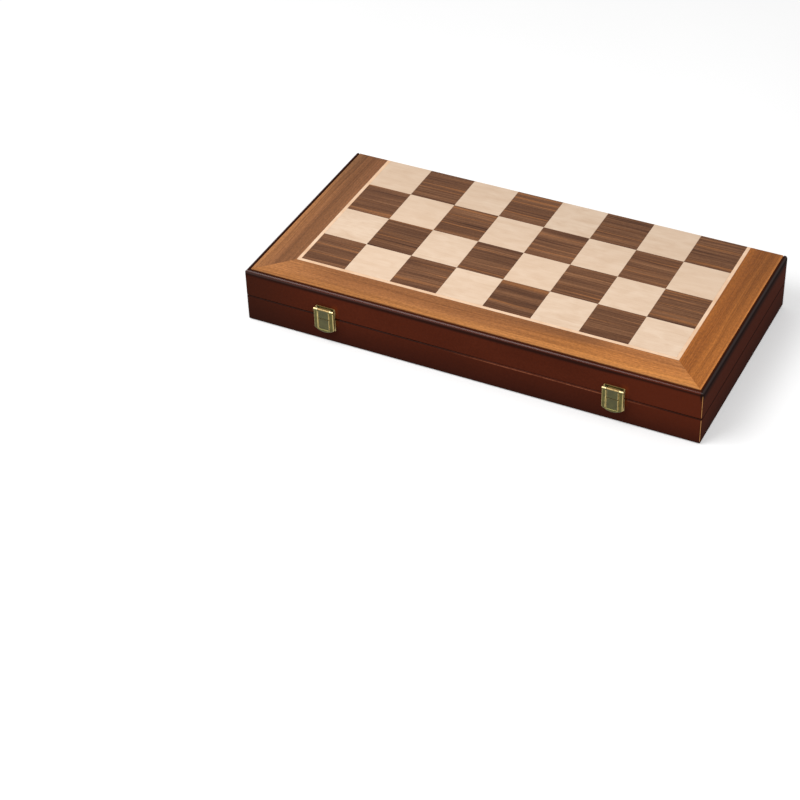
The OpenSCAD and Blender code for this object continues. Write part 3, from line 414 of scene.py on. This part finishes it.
def side_strips(p, run, x, y):
    """Tones of the side strips: the left one orange outside at the front and brown all over at
    the hinges, the right one darker towards the hinges."""
    left = p.mix(p.rise(y, *LEFT_TO_HINGES),
                 p.ramp(run, LEFT_STRIP), p.ramp(run, LEFT_STRIP_BACK))
    right = p.shaded(p.ramp(run, RIGHT_STRIP), p.spread(p.rise(y, *RIGHT_TO_HINGES), 1.16, 0.86))
    return p.mix(p.greater(x, 0.0), left, right)


def border_strips():
    """Border: orange-brown walnut whose grain follows each strip, mitred at the corners."""
    p = Paint("border_strips", roughness=0.42, specular=0.10)
    _, x, y, z = p.place()
    side_run = p.minus(p.absolute(x), FIELD_X)
    front_run = p.minus(FIELD_Y, y)
    is_side = p.greater(side_run, front_run)
    run = p.math("DIVIDE", p.math("MAXIMUM", side_run, front_run), BORDER_W)
    grown = p.either_vector(is_side, p.vector(x, p.plus(y, FRONT_SHIFT), z),
                            p.vector(y, x, p.plus(z, SIDE_SHIFT)))
    wave = p.times(p.noise(p.scaled(grown, 9.0, 30.0, 30.0)), 7 * MM)
    bent = p.shifted(grown, p.vector(0.0, wave, 0.0))
    bands = p.streaks(bent, 420 * MM, 7 * MM, detail=2.0)
    lines = p.streaks(bent, 130 * MM, 1.3 * MM, rough=0.6)
    mottle = p.rise(p.streaks(bent, 3.6 * MM, 1.5 * MM, rough=0.7), 0.34, 0.66)
    pores = p.rise(p.streaks(bent, 6 * MM, 0.45 * MM, detail=2.0), 0.58, 0.70)
    wood = p.mix(is_side, front_strip(p, run, x, lines), side_strips(p, run, x, y))
    wood = p.mix(1.0, wood, p.ramp(p.blend(bands, 0.5, lines), STREAK_SHADE), "MULTIPLY")
    wood = p.shaded(wood, p.spread(mottle, 0.84, 1.16))
    p.colour(p.glaze(wood, STRIP_PORE, pores, 0.30))
    p.bump(p.minus(lines, p.times(pores, 0.5)), 0.03 * MM, 0.35)
    return p.material


# ------------------------------------------------------------------ lacquered walls

STAIN = tones((0.30, 69, 27, 15), (0.50, 76, 31, 17), (0.70, 83, 35, 20))
# Darker foot and base: partly a sprayed edge, partly painted shade from the floor
FOOT_SPRAY_AND_SHADE = srgb(44, 19, 14)
# Darker at the left end and redder at the right end of the front
LEFT_END_TONE = srgb(42, 22, 15)
RIGHT_END_TONE = srgb(88, 36, 20)
# Painted shade on the side walls
SIDE_SHADE = srgb(40, 24, 19)
SPRAY = srgb(39, 18, 13)
SHOULDER = srgb(24, 15, 13)
# Painted shade on the rim's flat top, which widens the dark groove line beside the veneer
RIM_TOP_SHADE = srgb(34, 14, 7)
SEAM_BARE = srgb(134, 79, 55)
# Painted shade in the seam between lid and base
SEAM_SHADE = srgb(40, 18, 12)
# Painted reflection of the brass latches, warm in the lacquer beside them
BRASS_REFLECTION = srgb(112, 50, 20)
CORNER_BARE = srgb(206, 150, 92)

# Stretches of the front, along X, and heights over which the wall's tone changes, towards the foot
# partly by painted shade
LEFT_END = (-BOX_X - 20 * MM, -140 * MM)
RIGHT_END = (120 * MM, 190 * MM)
RIGHT_HEIGHT = (-10 * MM, SEAM_Z + 10 * MM)
FOOT_HEIGHT = (-14 * MM, SEAM_Z + 8 * MM)
BELOW_SEAM = SEAM_Z - 2.6 * MM
# The sprayed line: distances from the rim over which it comes and goes, sooner at the right end
SPRAY_IN, SPRAY_OUT = (1.0 * MM, 3.0 * MM), (3.2 * MM, 7.2 * MM)
SPRAY_SOONER, SOONER_END = 1.5 * MM, (130 * MM, 190 * MM)
SPRAY_ON_BASE, SPRAY_MOST = 0.2, 0.95
SHOULDER_X = (BOX_X - 3.4 * MM, BOX_X - 2.2 * MM)
SHOULDER_HEIGHT = (TOP_Z - 13 * MM, TOP_Z - 3 * MM)
# Heights of the painted shade on the rim's flat top
RIM_FLAT = (TOP_Z - 0.9 * MM, TOP_Z - 0.1 * MM)
# The worn line and the painted shade in the seam: low and high place, and the soft distance
# outside them
LINE_X = (50 * MM, 130 * MM, 90 * MM)
LINE_HEIGHT = (SEAM_Z - 2.1 * MM, SEAM_Z - 1.4 * MM, 0.3 * MM)
SEAM_SHADE_HEIGHT = (SEAM_Z - 1.2 * MM, SEAM_Z + 0.6 * MM, 0.5 * MM)
# The painted reflection of each latch in the lacquer to its right: low and high place, and the
# soft distance outside them
BRASS_REFLECTION_X = (-1 * MM, 1 * MM, 4 * MM)            # from the right edge of a latch plate
BRASS_REFLECTION_HEIGHT = (SEAM_Z - 4 * MM, SEAM_Z + 10 * MM, 9 * MM)
# The worn corner: how far off the edge's middle line it fades, its depth, and its open ends
CORNER_FADE, CORNER_DEPTH = (0.15 * MM, 0.5 * MM), 1.4 * MM
CORNER_FROM_RIM, CORNER_FROM_SEAM = (2.5 * MM, 5 * MM), (0.8 * MM, 2.0 * MM)
# The glossy round of the rim: its heights, how far in it reaches, by how much its lower edge is
# lower at the left and higher at the right, and the coat's weight on it and on the rest
GLOSS_HEIGHT = (TOP_Z - 2.9 * MM, TOP_Z - 1.4 * MM)
GLOSS_INWARDS = (1.3 * MM, 2.4 * MM)
GLOSS_LIFT_LEFT, GLOSS_LIFT_RIGHT = 0.8 * MM, -0.9 * MM
GLOSS, GLOSS_LEFT_END, DULL = 0.35, 0.41, 0.03


def stained(p, grain, vector, x, z, left_end):
    """Colour of the walls: the stain, then darker at the left end and redder above the foot at the
    right end, darker towards the foot and a little over the whole base, partly sprayed and partly
    painted shade from the floor, and darker on the side walls, which is painted shade."""
    cloud = p.noise(p.scaled(vector, 12.0, 12.0, 30.0))
    right_end = p.times(p.rise(x, *RIGHT_END), p.rise(z, *RIGHT_HEIGHT))
    stain = p.ramp(p.blend(grain, 0.6, cloud), STAIN)
    # Darker towards the foot and below the seam: partly sprayed, partly painted shade from the
    # floor
    stain = p.glaze(stain, FOOT_SPRAY_AND_SHADE, p.fall(z, *FOOT_HEIGHT), 0.85)
    stain = p.glaze(stain, LEFT_END_TONE, left_end, 0.60)
    stain = p.glaze(stain, FOOT_SPRAY_AND_SHADE, p.less(z, BELOW_SEAM), 0.16)
    stain = p.glaze(stain, RIGHT_END_TONE, right_end, 0.6)
    # Painted shade on the side walls
    return p.glaze(stain, SIDE_SHADE, p.greater(p.absolute(x), BOX_X - 1 * MM), 0.40)


def sprayed(p, stain, x, z, from_rim):
    """The dark line sprayed beside the round of the rim, strong on the lid and faint on the base,
    then the lid's dark right shoulder, and painted shade on the rim's flat top beside the groove."""
    sooner = p.plus(from_rim, p.times(p.rise(x, *SOONER_END), SPRAY_SOONER))
    spray = p.times(p.fall(sooner, *SPRAY_OUT), p.rise(from_rim, *SPRAY_IN))
    spray = p.times(spray, p.plus(p.greater(z, SEAM_Z), SPRAY_ON_BASE))
    shoulder = p.times(p.rise(x, *SHOULDER_X), p.rise(z, *SHOULDER_HEIGHT))
    stain = p.mix(p.least(spray, SPRAY_MOST), stain, SPRAY)
    stain = p.glaze(stain, SHOULDER, shoulder, 0.85)
    # Painted shade on the rim's flat top
    return p.glaze(stain, RIM_TOP_SHADE, p.rise(z, *RIM_FLAT), 0.45)


def worn_seam_and_painted_light(p, stain, vector, x, z, at_front, wear):
    """A dotted line worn to the wood below the seam, from the middle to the right latch, a warm
    painted reflection of the brass to the right of each latch, and painted shade in the seam where
    the line isn't."""
    along = p.within(x, *LINE_X)
    dots = p.rise(p.noise(p.scaled(vector, 420.0, 40.0, 40.0)), 0.30, 0.62)
    line = p.times(p.times(p.within(z, *LINE_HEIGHT), at_front), p.rise(wear, 0.25, 0.50))
    line = p.times(line, p.spread(dots, 0.4, 1.0))
    # rubbed: painted reflection of the latch, warm in the lacquer just right of each plate
    past_plate = p.minus(p.minus(x, nearest_latch(p, x)), PLATE_X)
    rubbed = p.times(p.within(past_plate, *BRASS_REFLECTION_X), p.within(z, *BRASS_REFLECTION_HEIGHT))
    # seam: painted shade in the gap between lid and base, away from the worn line
    seam = p.within(z, *SEAM_SHADE_HEIGHT)
    stain = p.mix(p.times(line, along), stain, SEAM_BARE)
    stain = p.glaze(stain, BRASS_REFLECTION, p.times(rubbed, at_front), 0.55)
    return p.glaze(stain, SEAM_SHADE, p.times(seam, p.inverse(along)), 0.8)


def worn_corner(p, stain, off_x, off_y, z, from_rim, wear):
    """A line worn to the wood on the upright edge at the front right."""
    corner = p.times(p.fall(p.absolute(p.minus(off_x, off_y)), *CORNER_FADE),
                     p.less(p.plus(off_x, off_y), CORNER_DEPTH))
    corner = p.times(corner, p.rise(from_rim, *CORNER_FROM_RIM))
    corner = p.times(corner, p.rise(wear, 0.28, 0.40))
    corner = p.times(corner, p.rise(p.absolute(p.minus(z, SEAM_Z)), *CORNER_FROM_SEAM))
    return p.glaze(stain, CORNER_BARE, corner, 0.9)


def lacquer():
    """Walls: red-brown stain under lacquer, sprayed and worn, with painted shade partly towards
    the foot, on the side walls, on the rim's flat top and in the seam, and a painted reflection of
    the brass beside each latch. The lacquer is glossy on the round of the lid's rim, over a wider
    band at the left than at the right, and dull below it."""
    p = Paint("lacquer", roughness=0.40, specular=0.0, coat_rough=0.16)
    vector, x, y, z = p.place()
    from_rim = p.least(z, p.minus(TOP_Z, z))
    off_x = p.minus(BOX_X, x)
    off_y = p.minus(y, FRONT_Y)
    at_front = p.less(y, FRONT_Y + 0.7 * MM)
    left_end = p.fall(x, *LEFT_END)
    wear = p.noise(p.scaled(vector, 25.0, 25.0, 200.0), detail=3.0)
    # The sum and difference of X and Y run along the front and the side walls alike
    grain = p.streaks(p.vector(p.plus(x, y), z, p.minus(x, y)), 160 * MM, 2.2 * MM, rough=0.6)
    stain = stained(p, grain, vector, x, z, left_end)
    stain = sprayed(p, stain, x, z, from_rim)
    stain = worn_seam_and_painted_light(p, stain, vector, x, z, at_front, wear)
    p.colour(worn_corner(p, stain, off_x, off_y, z, from_rim, wear))
    lift = p.spread(p.rise(x, -BOX_X, BOX_X), GLOSS_LIFT_LEFT, GLOSS_LIFT_RIGHT)
    inwards = p.least(off_y, p.minus(BOX_X, p.absolute(x)))
    gloss = p.rise(p.plus(z, lift), *GLOSS_HEIGHT)
    gloss = p.times(gloss, p.spread(left_end, GLOSS, GLOSS_LEFT_END))
    gloss = p.times(gloss, p.fall(inwards, *GLOSS_INWARDS))
    p.coat(p.plus(gloss, DULL))
    p.bump(p.plus(grain, p.noise(vector, scale=900.0, detail=1.0)), 0.03 * MM, 0.12)
    return p.material


# ------------------------------------------------------------------ men, metal and felt

def turned_wood(name, dark, middle, light, pore, roughness):
    """Varnished wood of the men: fine grain along Y, in which they lie, with short pores."""
    p = Paint(name, roughness=roughness, specular=0.5, coat=0.35, coat_rough=0.08)
    _, x, y, z = p.place()
    turned = p.vector(y, x, z)
    bands = p.noise(p.scaled(turned, 16.0, 130.0, 130.0), detail=3.0, rough=0.55, distortion=0.5)
    lines = p.noise(p.scaled(turned, 22.0, 620.0, 620.0), detail=3.0, rough=0.6)
    pores = p.rise(p.noise(p.scaled(turned, 220.0, 2400.0, 2400.0)), 0.62, 0.74)
    wood = p.ramp(p.blend(bands, 0.6, lines), [(0.33, dark), (0.50, middle), (0.68, light)])
    p.colour(p.glaze(wood, pore, pores, 0.4))
    p.bump(lines, 0.03 * MM, 0.15)
    return p.material


def brass(name, face, edge, top, metallic, roughness):
    """Brass with fine scratches, a soft polish and an aged tone in patches. Its colour is painted
    light by the surface's direction: the faces have the dark face tone, sides and rounds the
    lighter edge tone, a painted highlight, which the outermost strip of a latch plate, beside the
    hasp, also has. Above the seam, upward faces have the top's tone, also a painted highlight."""
    p = Paint(name, roughness=roughness, metallic=metallic)
    vector, x, y, z = p.place()
    across, _, up = p.facing()
    patches = p.noise(vector, scale=260.0, detail=3.0, rough=0.6)
    scratches = p.noise(p.scaled(vector, 700.0, 700.0, 5200.0), rough=0.6)
    from_middle = p.absolute(p.minus(x, nearest_latch(p, x)))
    # Painted highlight on the outermost strip of each latch plate, beside the hasp
    beside = p.times(p.rise(from_middle, PLATE_X - 1.4 * MM, PLATE_X - 0.9 * MM),
                     p.greater(y, FRONT_Y - 1 * MM))
    # Painted highlight on upward faces above the seam
    upward = p.times(p.rise(up, 0.10, 0.60), p.greater(z, SEAM_Z - 3 * MM))
    # Painted light: the faces dark, sides and rounds the lighter edge tone as a painted highlight
    metal = p.mix(p.rise(p.absolute(across), 0.15, 0.60), face, edge)
    metal = p.mix(beside, metal, edge)
    metal = p.mix(upward, metal, top)
    p.colour(p.shaded(metal, p.spread(p.rise(patches, 0.35, 0.65), 0.85, 1.10)))
    p.roughness(p.spread(patches, roughness - 0.08, roughness + 0.08))
    p.bump(scratches, 0.02 * MM, 0.12)
    return p.material


def felt(name, dark, light, pile):
    """Felt: short matted fibres in two greens with a faint sheen."""
    p = Paint(name, roughness=0.95, specular=0.1)
    p.shader.inputs["Sheen Weight"].default_value = 0.25
    p.shader.inputs["Sheen Roughness"].default_value = 0.4
    vector = p.place()[0]
    fibre = p.noise(vector, scale=1 / pile, detail=4.0, rough=0.7, distortion=1.5)
    matted = p.noise(vector, scale=0.16 / pile, detail=3.0, rough=0.6)
    matted = p.blend(fibre, 0.65, matted)
    p.colour(p.ramp(matted, [(0.32, dark), (0.66, light)]))
    p.bump(matted, 0.35 * MM, 0.5)
    return p.material


# ------------------------------------------------------------------ what wears what

SMALL_BRASS = ("hinge", "latch_pin", "screws")


def dress():
    """Gives every node of the frame its material."""
    lining = felt("lining", srgb(16, 58, 36), srgb(38, 92, 60), 0.9 * MM)
    pads = felt("pads", srgb(24, 92, 48), srgb(50, 130, 76), 0.5 * MM)
    # Each brass: the face tone is the shaded side, the edge and top tones are painted highlights
    polished = brass("brass", face=srgb(88, 83, 43), edge=srgb(194, 175, 116),
                     top=srgb(220, 200, 146), metallic=0.75, roughness=0.30)
    aged = brass("aged_brass", face=srgb(75, 72, 36), edge=srgb(206, 184, 124),
                 top=srgb(166, 138, 84), metallic=0.45, roughness=0.36)
    inner = brass("inner_brass", face=srgb(178, 152, 88), edge=srgb(196, 172, 108),
                  top=srgb(190, 166, 100), metallic=0.9, roughness=0.30)
    light_men = turned_wood("boxwood", srgb(214, 184, 136), srgb(230, 204, 160),
                            srgb(240, 220, 182), pore=srgb(190, 154, 104), roughness=0.30)
    dark_men = turned_wood("dark_wood", srgb(58, 26, 16), srgb(92, 44, 27),
                           srgb(122, 66, 40), pore=srgb(38, 18, 12), roughness=0.26)
    by_ending = {
        "wall": lacquer(), "panel": core_board(), "dark_squares": walnut_squares(),
        "light_squares": maple_squares(), "border_veneer": border_strips(),
        "inlaid_line": inlay(), "felt": lining, "tray": lining, "pads": pads,
        "latch_plate": aged, "catch": aged, "hasp": polished,
    }
    for name, piece in NODES.items():
        material = light_men if name.startswith("light_") else dark_men
        if any(part in name for part in SMALL_BRASS):
            material = inner
        for ending, worn in by_ending.items():
            if name.endswith(ending):
                material = worn
        piece.data.materials.clear()
        piece.data.materials.append(material)


# ------------------------------------------------------------------ stage, lamps and camera

FLOOR_REACH = 12.0
FLOOR_TONES = [(0.3, (0.80, 0.80, 0.80, 1)), (0.7, (0.82, 0.82, 0.82, 1))]
FLOOR_GLOW_NEAR, FLOOR_GLOW_FAR = 0.28, 0.62    # emission seen by the camera
FLOOR_NEAR, FLOOR_FAR = 0.6, 2.4                # distances over which it grows
WORLD_LIGHT, WORLD_SEEN = 0.55, 1.0

LAMP_TARGET = (0, 0, 0.03)
# Name, place, width and height, power in watts
LAMPS = (("key", (-0.6, -0.8, 1.27), (1.07, 0.8), 15.2),
         ("fill", (1.6, -0.4, 1.2), (1.2, 1.2), 8.0))

# The photograph's viewpoint, its directions to the right and up, and its lens
CAMERA_PLACE = (0.68540, -1.54908, 1.23665)
CAMERA_RIGHT = Vector((0.89427168, 0.44651533, -0.03003714))
CAMERA_UP = Vector((-0.25711776, 0.56756552, 0.78215078))
CAMERA_LENS, CAMERA_SENSOR = 93.63, 36.0        # in millimetres
CAMERA_CLIP = (0.05, 60.0)


def seen(tree):
    """1 for what the camera sees, itself or by reflection or through glass, and 0 for light."""
    path = tree.nodes.new("ShaderNodeLightPath")
    value = path.outputs["Is Camera Ray"]
    for ray in ("Is Glossy Ray", "Is Transmission Ray"):
        either = tree.nodes.new("ShaderNodeMath")
        either.operation = "MAXIMUM"
        tree.links.new(value, either.inputs[0])
        tree.links.new(path.outputs[ray], either.inputs[1])
        value = either.outputs[0]
    return value


def floor():
    """Pale floor that keeps the shadow, and a little brighter to the camera and in reflections,
    more so far from the object, where the lamps don't reach."""
    reach = FLOOR_REACH
    mesh = bpy.data.meshes.new("floor")
    corners = [(-reach, -reach, 0), (reach, -reach, 0), (reach, reach, 0), (-reach, reach, 0)]
    mesh.from_pydata(corners, [], [(0, 1, 2, 3)])
    piece = bpy.data.objects.new("floor", mesh)
    bpy.context.scene.collection.objects.link(piece)
    p = Paint("floor", roughness=0.9, specular=0.0)
    vector, x, y, _ = p.place()
    p.colour(p.ramp(p.noise(vector, scale=3.0), FLOOR_TONES))
    p.shader.inputs["Emission Color"].default_value = (1, 1, 1, 1)
    away = p.math("SQRT", p.plus(p.times(x, x), p.times(y, y)))
    glow = p.spread(p.rise(away, FLOOR_NEAR, FLOOR_FAR), FLOOR_GLOW_NEAR, FLOOR_GLOW_FAR)
    p.feed(p.times(seen(p.material.node_tree), glow), p.shader.inputs["Emission Strength"])
    mesh.materials.append(p.material)


def world():
    """Even white surroundings: a soft light on the object, and white behind it and in it."""
    surroundings = bpy.data.worlds.new("surroundings")
    bpy.context.scene.world = surroundings
    surroundings.use_nodes = True
    tree = surroundings.node_tree
    background = tree.nodes["Background"]
    background.inputs["Color"].default_value = (1, 1, 1, 1)
    strength = tree.nodes.new("ShaderNodeMapRange")
    strength.inputs["To Min"].default_value = WORLD_LIGHT
    strength.inputs["To Max"].default_value = WORLD_SEEN
    tree.links.new(seen(tree), strength.inputs["Value"])
    tree.links.new(strength.outputs[0], background.inputs["Strength"])


def lamp(name, place, size, power):
    """A soft rectangular lamp that faces the object."""
    data = bpy.data.lights.new(name, "AREA")
    data.shape = "RECTANGLE"
    data.size, data.size_y = size
    data.energy = power
    piece = bpy.data.objects.new(name, data)
    piece.location = place
    direction = Vector(LAMP_TARGET) - Vector(place)
    piece.rotation_euler = direction.to_track_quat("-Z", "Y").to_euler()
    bpy.context.scene.collection.objects.link(piece)


def camera():
    """The photograph's camera."""
    data = bpy.data.cameras.new("camera")
    data.sensor_width = CAMERA_SENSOR
    data.lens = CAMERA_LENS
    data.clip_start, data.clip_end = CAMERA_CLIP
    piece = bpy.data.objects.new("camera", data)
    axes = (CAMERA_RIGHT, CAMERA_UP, CAMERA_RIGHT.cross(CAMERA_UP))
    turn = Matrix(axes).transposed().to_4x4()
    piece.matrix_world = Matrix.Translation(CAMERA_PLACE) @ turn
    bpy.context.scene.collection.objects.link(piece)
    bpy.context.scene.camera = piece


camera()
dress()
floor()
world()
for lamp_settings in LAMPS:
    lamp(*lamp_settings)
bpy.context.scene.view_settings.view_transform = "Standard"
